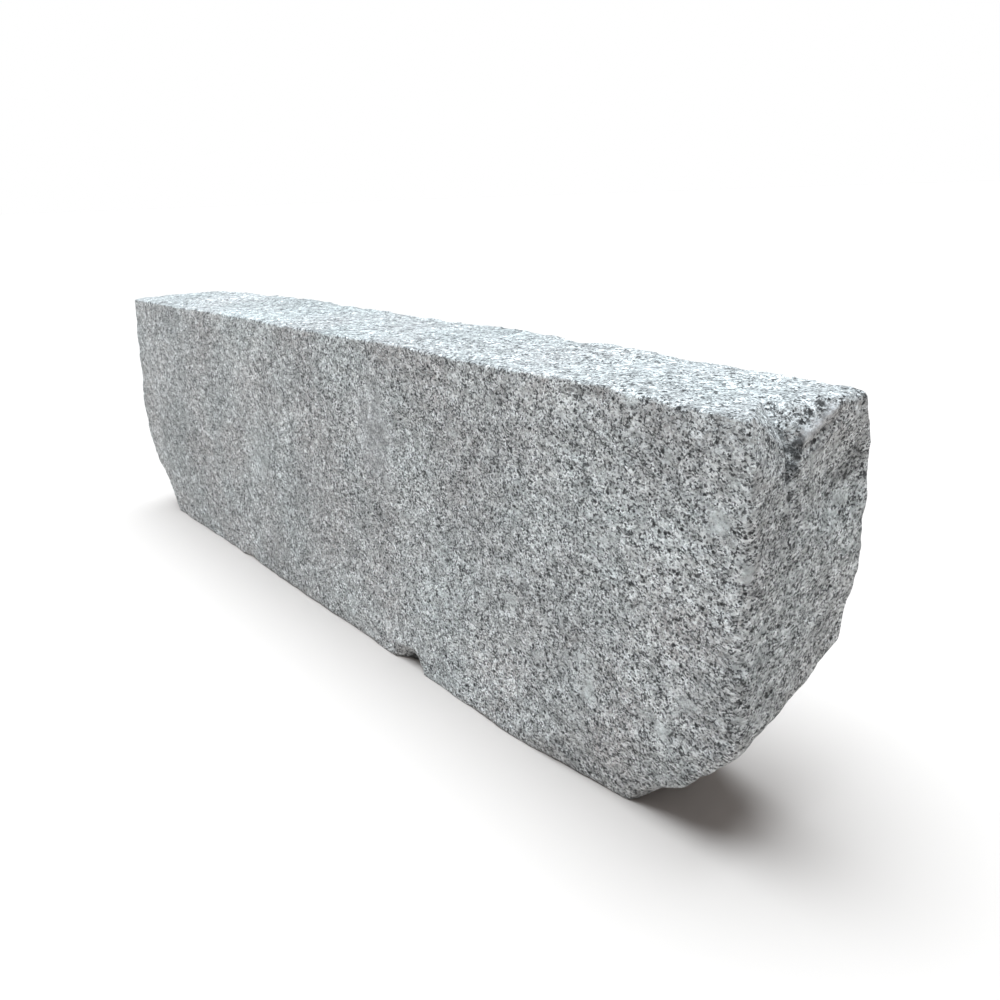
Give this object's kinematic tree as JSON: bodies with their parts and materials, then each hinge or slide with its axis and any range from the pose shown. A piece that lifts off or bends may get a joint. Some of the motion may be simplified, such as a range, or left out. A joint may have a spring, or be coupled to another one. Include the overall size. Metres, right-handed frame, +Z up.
{
  "type": "granite kerb stone",
  "caption": "Split granite kerb stone: a long rough-faced bar that stands on its narrow bed face to edge paving.",
  "frame": {"origin": "on the floor, under the middle of the stone's box", "axes": "+X along the stone to its undercut end, -Y out of the dressed front face, +Z up"},
  "size_m": [1.027, 0.131, 0.2925],
  "materials": {
    "granite": "split granite, grey-white with black mica flecks, rough and matt"
  },
  "bodies": {
    "root": {"kerb_stone": "granite"}
  },
  "joints": []
}
